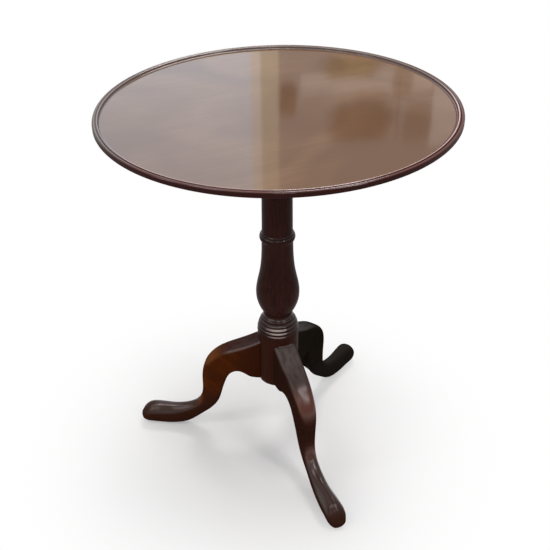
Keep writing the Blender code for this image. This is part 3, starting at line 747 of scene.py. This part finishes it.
def shaped_leg(node, turn):
    """The sawn shape of a node rasped smooth, with its dovetail left crisp"""
    direction = Vector((math.cos(math.radians(turn)), math.sin(math.radians(turn)), 0))
    tongue = bench_copy(node, node + "_dovetail")
    cut_off(tongue, joint_face + 0.001, direction, False)
    leg = bench_copy(node, node.replace("leg_", "cabriole_leg_"))
    cut_off(leg, joint_face, direction, True)
    remesh = leg.modifiers.new("rasp", "REMESH")
    remesh.mode = "VOXEL"
    remesh.voxel_size = voxel
    remesh.use_smooth_shade = True
    apply_modifiers(leg)
    flatten_toe(leg, direction)
    if node == "leg_right":
        fill_arch(leg, direction)
    soft = leg.vertex_groups.new(name="soft")
    rounded = leg.vertex_groups.new(name="rounded")
    for vertex in leg.data.vertices:
        reach = vertex.co.dot(direction)
        inward = max(-vertex.normal.dot(direction), -vertex.normal.z)
        under_arch = min((inward - inward_start) / inward_fade, (arch_end - reach) / arch_fade)
        worked = 1 - arch_kept * held(under_arch)
        off_joint = min((reach - joint_face) / shoulder_fade, vertex.co.z / sole_fade)
        soft.add([vertex.index], held(off_joint) * worked, "REPLACE")
        above_ankle = min((reach - joint_face) / knee_fade, (vertex.co.z - ankle_height) / ankle_fade)
        rounded.add([vertex.index], held(above_ankle) * worked, "REPLACE")
    for group, passes in (("soft", soft_passes), ("rounded", knee_passes)):
        smooth = leg.modifiers.new("sand_" + group, "SMOOTH")
        smooth.factor = 0.5
        smooth.iterations = passes
        smooth.vertex_group = group
    apply_modifiers(leg)
    select_only(leg)
    tongue.select_set(True)
    bpy.ops.object.join()
    bpy.ops.object.shade_smooth_by_angle(angle=leg_sharp_angle)
    to_leg = Matrix.Rotation(math.radians(-turn), 3, "Z")
    grain = leg.data.attributes.new("grain", "FLOAT_VECTOR", "POINT")
    places = [to_leg @ vertex.co + Vector((0, turn / 100, 0)) for vertex in leg.data.vertices]
    grain.data.foreach_set("vector", np.array(places, np.float32).ravel())
    return leg


shoulder_tone_reach = (0.100, 0.040)
foot_tone_height = (0.125, 0.07)
knee_start = (0.100, 0.130)
knee_end = (0.175, 0.145)
dust_and_sheen_reach = (0.14, 0.05)
foot_end = (0.285, 0.25)
arris_end = (0.115, 0.090)
coat_dullest = 0.32
coat_glossiest = 0.12


def make_leg_finish(
        name, dark, middle, light, shoulder, knee, foot, dust_and_sheen, polish, polished_from, edges):
    """Red-brown leg, darker at the shoulder, with a painted red glow on the knee, greyed on upward faces,
    partly dusty and partly a painted sheen
    """
    made, tree, shader = new_material(name)
    own = new_node(tree, "ShaderNodeAttribute")
    own.attribute_name = "grain"
    place = own.outputs["Vector"]
    grain = group_node(
        tree, mahogany_grain, Place=turned_place(tree, place, (0, leg_grain_slope, 0)),
        Fineness=1.2, Pores=0.2, Dark=dark, Middle=middle, Light=light)
    split = split_place(tree, place)
    reach = split["X"]
    wear = noise(tree, place, scale=14.0, detail=3.0, roughness=0.55)
    streaks = noise(
        tree, stretched(tree, place, along=14.0, across=130.0), scale=1.0, detail=2.0, roughness=0.5)
    low = ramp(tree, split["Z"], *foot_tone_height)
    on_knee = product(tree, ramp(tree, reach, *knee_start), ramp(tree, reach, *knee_end))
    knee_glow_mask = product(tree, ramp(tree, wear, 0.25, 0.55), upward_share(tree, 0.0, 0.45))
    dust_and_sheen_share = product(
        tree, upward_share(tree, 0.35, 0.95), ramp(tree, streaks, -0.15, 0.75),
        rescaled(tree, ramp(tree, reach, *dust_and_sheen_reach), span=0.75, base=0.12))

    # Towards the pillar the leg takes its shoulder colour.
    color = blend_colors(tree, ramp(tree, reach, *shoulder_tone_reach), grain["Color"], shoulder)
    # Near the floor the leg takes its foot colour.
    color = blend_colors(tree, product(tree, low, 0.85), color, foot)
    # Upward faces turn grey, partly dusty and partly a painted sheen, most near the pillar.
    color = blend_colors(tree, dust_and_sheen_share, color, dust_and_sheen)
    # A red glow is painted on the knee's upward faces, in patches.
    color = blend_colors(tree, product(tree, on_knee, knee_glow_mask), color, knee)

    handled = product(
        tree, ramp(tree, reach, polished_from - 0.04, polished_from), ramp(tree, reach, *foot_end),
        upward_share(tree, 0.1, 0.4), polish)
    arris_gloss = product(
        tree, upward_share(tree, 0.20, 0.42), upward_share(tree, 0.88, 0.74),
        ramp(tree, reach, *arris_end), edges)
    shader.inputs["Coat Roughness"].default_value = (coat_glossiest + coat_dullest) / 2
    coat_wear = rescaled(tree, wear, span=coat_dullest - coat_glossiest, base=coat_glossiest)
    dress(
        tree, shader, Base_Color=color, Roughness=0.45, Specular_IOR_Level=0.0,
        Coat_Weight=math_node(tree, "ADD", handled, arris_gloss, True), Coat_Roughness=coat_wear,
        Normal=relief(tree, grain["Height"], strength=0.05, depth=0.0003))
    return made


# The legs are one wood, but each gets its own colours as painted light: the far leg near black as painted
# shade, the left leg orange as painted light, the front one red-brown between them.
leg_finishes = {
    "leg_front": make_leg_finish(
        "leg_polish_front", dark=(0.018, 0.0075, 0.0055, 1), middle=(0.030, 0.0105, 0.0070, 1),
        light=(0.046, 0.0150, 0.0085, 1), shoulder=(0.022, 0.0088, 0.0060, 1),
        knee=(0.085, 0.0240, 0.0130, 1), foot=(0.034, 0.0120, 0.0080, 1),
        dust_and_sheen=(0.135, 0.112, 0.106, 1), polish=0.92, polished_from=0.125, edges=0.0),
    "leg_right": make_leg_finish(
        "leg_polish_far_shaded", dark=(0.007, 0.0055, 0.0040, 1), middle=(0.012, 0.0090, 0.0064, 1),
        light=(0.017, 0.0120, 0.0080, 1), shoulder=(0.012, 0.0092, 0.0066, 1),
        knee=(0.017, 0.0130, 0.0110, 1), foot=(0.013, 0.0105, 0.0085, 1),
        dust_and_sheen=(0.100, 0.093, 0.090, 1), polish=0.0, polished_from=0.125, edges=0.0),
    "leg_left": make_leg_finish(
        "leg_polish_left_lit", dark=(0.040, 0.0105, 0.0034, 1), middle=(0.066, 0.0148, 0.0034, 1),
        light=(0.090, 0.0210, 0.0045, 1), shoulder=(0.035, 0.0090, 0.0040, 1),
        knee=(0.130, 0.0440, 0.0150, 1), foot=(0.030, 0.0110, 0.0070, 1),
        dust_and_sheen=(0.072, 0.048, 0.048, 1), polish=1.0, polished_from=0.188, edges=0.9)}
for node, turn in leg_turns.items():
    leg = shaped_leg(node, turn)
    mark_upward(leg)
    fit(leg, "pillar", "leg_wood", leg_finishes[node], node)


# Under the top: the block on the pillar's tenon, the two battens that turn on its dowels,
# and the wedge in the tenon. They are planed mahogany, oiled but never polished.
arris = 0.0009


def planed(node, name, body, slot, finish, round_size):
    """A node's own shape with its arrises broken, in place of the node"""
    piece = bench_copy(node, name)
    bpy.ops.object.mode_set(mode="EDIT")
    bpy.ops.mesh.select_all(action="SELECT")
    bpy.ops.mesh.dissolve_limited(angle_limit=math.radians(1))
    bpy.ops.object.mode_set(mode="OBJECT")
    bevel = piece.modifiers.new("arris", "BEVEL")
    bevel.width = round_size
    bevel.segments = 2
    bevel.limit_method = "ANGLE"
    bevel.angle_limit = sharp_angle
    apply_modifiers(piece)
    bpy.ops.object.shade_smooth_by_angle(angle=sharp_angle)
    fit(piece, body, slot, finish, node)


bench_dark = (0.030, 0.012, 0.007, 1)
bench_middle = (0.075, 0.030, 0.016, 1)
bench_light = (0.120, 0.052, 0.026, 1)
bench_grime = (0.028, 0.015, 0.010, 1)


def make_bench_finish():
    """Plain mahogany with dry open grain, grimy with age"""
    made, tree, shader = new_material("oiled_under_wood")
    place = object_place(tree)
    grain = group_node(
        tree, mahogany_grain, Place=turned_place(tree, place, (0, 0, math.radians(90))),
        Fineness=1.6, Pores=0.8, Dark=bench_dark, Middle=bench_middle, Light=bench_light)
    grime = noise(tree, place, scale=9.0, detail=4.0, roughness=0.6)
    dress(
        tree, shader,
        Base_Color=blend_colors(tree, ramp(tree, grime, 0.48, 0.75), grain["Color"], bench_grime),
        Roughness=math_node(tree, "ADD", grain["Roughness"], 0.45),
        Normal=relief(tree, grain["Height"], strength=0.35, depth=0.0004))
    return made


bench_finish = make_bench_finish()
planed("tilt_block", "birdcage_free_block", "pillar", "block_wood", bench_finish, arris)
planed("tenon_wedge", "oak_wedge", "pillar", "block_wood", bench_finish, arris / 4)
for side in ("left", "right"):
    planed("bearer_" + side, "batten_" + side, "top", "block_wood", bench_finish, arris)
    planed("pivot_pin_" + side, "dowel_" + side, "pillar", "block_wood", bench_finish, arris / 2)


# The catch is cast and filed brass: a plate with two staples, the bolt between them with its
# turned knob, a leaf spring over it, and the keeper let into the block.
def make_old_metal():
    """Tarnish that gathers in patches and leaves the rest bright"""
    tree, given, put = new_group(
        "old_metal", [("Place", "Vector"), ("Bright", "Color"), ("Dull", "Color")],
        [("Color", "Color"), ("Roughness", "Float"), ("Height", "Float")])
    patches = noise(tree, given["Place"], scale=90.0, detail=5.0, roughness=0.65)
    scratches = noise(
        tree, stretched(tree, given["Place"], along=1.0, across=14.0),
        scale=120.0, detail=3.0, roughness=0.6)
    color = blend_colors(tree, ramp(tree, patches, 0.38, 0.68), given["Bright"], given["Dull"])
    tree.links.new(color, put["Color"])
    tree.links.new(rescaled(tree, patches, span=0.35, base=0.14), put["Roughness"])
    tree.links.new(math_node(tree, "ADD", patches, scratches), put["Height"])
    return tree


old_metal = make_old_metal()


def make_metal_finish(name, bright, dull, depth, dulling):
    """A metal with its own tarnish"""
    made, tree, shader = new_material(name)
    metal = group_node(tree, old_metal, Place=object_place(tree), Bright=bright, Dull=dull)
    dress(
        tree, shader, Base_Color=metal["Color"], Metallic=1.0,
        Roughness=math_node(tree, "ADD", metal["Roughness"], dulling, True),
        Normal=relief(tree, metal["Height"], strength=0.25, depth=depth))
    return made


brass_finish = make_metal_finish(
    "old_brass", bright=(0.56, 0.36, 0.13, 1), dull=(0.20, 0.115, 0.045, 1),
    depth=0.0001, dulling=0.05)
metal_round = 0.0003
thin_round = metal_round / 3
for node, body, round_size in (
        ("catch_plate", "top", metal_round), ("catch_staple_front", "top", metal_round),
        ("catch_staple_back", "top", metal_round), ("catch_spring", "top", thin_round),
        ("spring_rivet", "top", thin_round), ("keeper_plate", "pillar", metal_round),
        ("catch_bolt", "catch", metal_round)):
    planed(node, "brass_" + node, body, "brass", brass_finish, round_size)

knob_low, knob_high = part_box("catch_knob")
knob_middle = (knob_low + knob_high) / 2
knob_stem_radius = 0.0022
knob_collar = ((0.0022, 0.0108), (0.0030, 0.0104), (0.0030, 0.0094), (0.0024, 0.0090))
knob_ball_radius = 0.0060
knob_ball_height = knob_low.z + 0.0047
knob_segments = 40
knob_outline = [(knob_stem_radius, knob_high.z)]
knob_outline += [(radius, knob_low.z + height) for radius, height in knob_collar]
knob_outline += arc(0, knob_ball_height, knob_ball_radius, 62, 0, 8)
knob_outline += arc(0, knob_ball_height, knob_ball_radius, -8, -50, 6)
knob_outline += [(knob_stem_radius, knob_low.z)]
knob = lathe("turned_brass_knob", knob_outline, knob_segments)
knob.data.transform(Matrix.Translation((knob_middle.x, knob_middle.y, 0)))
fit(knob, "catch", "brass", brass_finish, "catch_knob")


# A three-armed wrought-iron plate under the drum ties the legs to it. It and the battens are
# held by hand-filed iron screws, and the catch by small brass ones.
iron_finish = make_metal_finish(
    "black_iron", bright=(0.060, 0.052, 0.047, 1), dull=(0.040, 0.022, 0.014, 1),
    depth=0.0003, dulling=0.45)
planed("leg_strap", "wrought_strap", "pillar", "iron", iron_finish, metal_round)

metal_finishes = {"iron": iron_finish, "brass": brass_finish}
for node in sorted(frame["nodes"]):
    if "_screw_" in node:
        body = next(b for b, names in frame["record"]["behaviour"]["bodies"].items() if node in names)
        metal = "iron" if node.startswith(("bearer", "strap")) else "brass"
        planed(node, "filed_" + node, body, metal, metal_finishes[metal], thin_round)


# The studio is a white floor under soft lamps. Beyond the table on the left stands a tall cool
# window, and right of it a jamb, a doorway and a shelf behind dyed gauze: the polished top
# mirrors them.
away = Vector((camera_look.x, camera_look.y, 0)).normalized()
right = Vector((away.y, -away.x, 0))
wall_distance = 2.5
gauze_distance = 2.44
window_sill = 1.2
window_width = 0.886
window_blue = (0.68, 0.84, 1.0)
jamb_white = (1.0, 0.95, 0.85)
doorway_yellow = (1.0, 0.90, 0.52)
shelf_white = (1.0, 0.92, 0.85)
far_door_white = (1.0, 0.93, 0.86)


def studio_place(across, beyond, height):
    """A place given across, beyond and above the foot of the pillar, as the camera sees it"""
    return right * across + away * beyond + Vector((0, 0, height))


def lamp(name, place, aim, width, height, radiance, color):
    """A soft rectangular lamp that shows this brightness"""
    bpy.ops.object.light_add(type="AREA", location=place)
    made = bpy.context.object
    made.name = name
    made.data.shape = "RECTANGLE"
    made.data.size = width
    made.data.size_y = height
    made.data.energy = radiance * math.pi * width * height
    made.data.color = color
    made.rotation_euler = (aim - place).to_track_quat("-Z", "Y").to_euler()
    made.visible_camera = False


def wall_lamp(name, across, height, width, tall, radiance, color):
    """A lamp on the wall beyond the table, that faces the camera's side"""
    place = studio_place(across, wall_distance, height)
    lamp(name, place, place - away, width, tall, radiance, color)


for name, head, radiance in (
        ("pane_high", 2.6, 1.30), ("pane_middle", 2.0, 1.28), ("pane_low", 1.72, 1.20)):
    wall_lamp(
        name, across=-0.417, height=(window_sill + head) / 2, width=window_width,
        tall=head - window_sill, radiance=radiance, color=window_blue)
wall_lamp(
    "jamb_lamp", across=0.048, height=1.85, width=0.043, tall=1.3, radiance=1.0, color=jamb_white)
wall_lamp(
    "doorway_lamp", across=0.110, height=1.85, width=0.081, tall=1.3, radiance=0.52,
    color=doorway_yellow)
wall_lamp(
    "shelf_lamp", across=0.55, height=1.62, width=0.6, tall=0.10, radiance=0.35, color=shelf_white)
for name, place, aim, width, tall, radiance, color in (
        ("overhead_lamp", (-0.1, 0.0, 2.5), (0, 0, 0.5), 2.5, 2.5, 1.0, (1, 0.98, 0.97)),
        ("key_lamp", (0.35, 1.0, 2.2), (0, 0, 0.4), 0.6, 0.6, 17.0, (1, 0.97, 0.95)),
        ("front_lamp", (0.05, -2.2, 2.1), (0, 0, 0.3), 0.5, 0.5, 8.0, (1, 0.96, 0.95)),
        ("knee_lamp", (1.0, -1.05, 1.85), (0, 0, 0.2), 0.22, 1.4, 9.0, (1, 0.96, 0.96)),
        ("knee_high_lamp", (0.88, -0.42, 2.05), (0, 0, 0.2), 0.30, 0.45, 9.0, (1, 0.96, 0.96)),
        ("foot_lamp", (-1.05, -0.68, 2.3), (-0.2, 0.1, 0), 0.5, 0.5, 6.0, (1, 0.96, 0.95)),
        ("edge_lamp", (-1.75, -0.55, 1.60), (0, 0, 0.2), 0.3, 1.0, 5.0, (1, 0.96, 0.94)),
        ("side_lamp", (-1.5, -1.5, 0.9), (0, 0, 0.3), 1.0, 1.0, 1.8, (1, 0.93, 0.85))):
    lamp(name, studio_place(*place), Vector(aim), width, tall, radiance, color)
wall_lamp(
    "far_door_lamp", across=0.93, height=1.80, width=0.14, tall=0.30, radiance=0.5,
    color=far_door_white)


def make_gauze(name, thread, cover):
    """Dyed gauze that covers this much, and thins out unevenly towards its hem"""
    made, tree, shader = new_material(name)
    place = object_place(tree)
    shadow = (thread[0] * 0.5, thread[1] * 0.5, thread[2] * 0.5, 1)
    frayed = product(tree, noise(tree, place, scale=4.0, detail=4.0, roughness=0.6), 0.3)
    split = split_place(tree, place)
    cubes = [math_node(tree, "POWER", gap_to(tree, split[axis], 0.0), 3.0) for axis in ("X", "Y")]
    from_middle = math_node(tree, "POWER", math_node(tree, "ADD", *cubes), 1 / 3)
    hem = ramp(tree, math_node(tree, "ADD", from_middle, frayed), 0.66, 0.43)
    dress(
        tree, shader, Base_Color=blend_colors(tree, noise(tree, place, scale=6.0), shadow, thread),
        Alpha=product(tree, hem, cover))
    return made


brown_gauze = make_gauze("brown_gauze", thread=(0.06, 0.034, 0.020, 1), cover=1.0)
thin_gauze = make_gauze("thin_gauze", thread=(0.09, 0.05, 0.045, 1), cover=0.6)
olive_gauze = make_gauze("olive_gauze", thread=(0.42, 0.38, 0.10, 1), cover=0.9)
for name, across, height, width, tall, gauze in (
        ("wide_panel", 0.520, 1.785, 0.36, 0.23, brown_gauze),
        ("step_panel", 0.56, 1.68, 0.20, 0.10, thin_gauze),
        ("small_panel", 0.188, 1.665, 0.10, 0.20, brown_gauze),
        ("end_panel", 0.78, 1.81, 0.17, 0.22, thin_gauze),
        ("post_panel", 0.69, 1.72, 0.016, 0.44, thin_gauze),
        ("back_panel", 0.70, 1.60, 0.12, 0.16, thin_gauze),
        ("leafy_panel", 0.47, 1.525, 0.30, 0.13, olive_gauze)):
    bpy.ops.object.select_all(action="DESELECT")
    bpy.ops.mesh.primitive_grid_add(
        x_subdivisions=4, y_subdivisions=4, size=1,
        location=studio_place(across, gauze_distance, height))
    panel = bpy.context.object
    panel.name = name
    panel.scale = (width, tall, 1)
    panel.rotation_euler = away.to_track_quat("Z", "Y").to_euler()
    panel.data.materials.append(gauze)
    panel.visible_camera = False

floor_size = 30.0
floor_white = (0.69, 0.69, 0.69, 1)
floor_lift = 0.08
shade_middle = (-0.040, 0.000, 0)
shade_reach = (0.06, 0.52)
bpy.ops.object.select_all(action="DESELECT")
bpy.ops.mesh.primitive_plane_add(size=floor_size)
floor = bpy.context.object
floor.name = "studio_floor"


def make_floor_finish():
    """White that fades to the backdrop's plain white, seen through from below"""
    made, tree, shader = new_material("white_floor")
    tree.nodes.remove(shader)
    out = tree.nodes["Material Output"]
    path = new_node(tree, "ShaderNodeLightPath").outputs
    seen = math_node(tree, "ADD", path["Is Camera Ray"], path["Is Glossy Ray"], True)
    seen = math_node(tree, "ADD", seen, path["Is Transmission Ray"], True)
    centred = vector_node(tree, "SUBTRACT", object_place(tree), shade_middle)["Vector"]
    far = ramp(tree, vector_node(tree, "LENGTH", centred)["Value"], *shade_reach)
    cloth = new_node(tree, "ShaderNodeBsdfDiffuse", Color=floor_white)
    lift = new_node(tree, "ShaderNodeEmission", Strength=product(tree, seen, floor_lift))
    near = new_node(tree, "ShaderNodeAddShader", _0=cloth.outputs[0], _1=lift.outputs[0])
    white = new_node(tree, "ShaderNodeEmission", Strength=1.0)
    shown = new_node(
        tree, "ShaderNodeMixShader", _0=product(tree, far, seen), _1=near.outputs[0], _2=white.outputs[0])
    clear = new_node(tree, "ShaderNodeBsdfTransparent")
    back = new_node(tree, "ShaderNodeNewGeometry").outputs["Backfacing"]
    either = new_node(
        tree, "ShaderNodeMixShader", _0=back, _1=shown.outputs[0], _2=clear.outputs[0])
    tree.links.new(either.outputs[0], out.inputs["Surface"])
    return made


floor.data.materials.append(make_floor_finish())

world_light = 0.44
world = bpy.data.worlds.new("studio")
world.use_nodes = True
scene.world = world
backdrop = world.node_tree.nodes["Background"]
backdrop.inputs["Color"].default_value = (1, 1, 1, 1)
backdrop.inputs["Strength"].default_value = world_light

scene.view_settings.view_transform = "Standard"
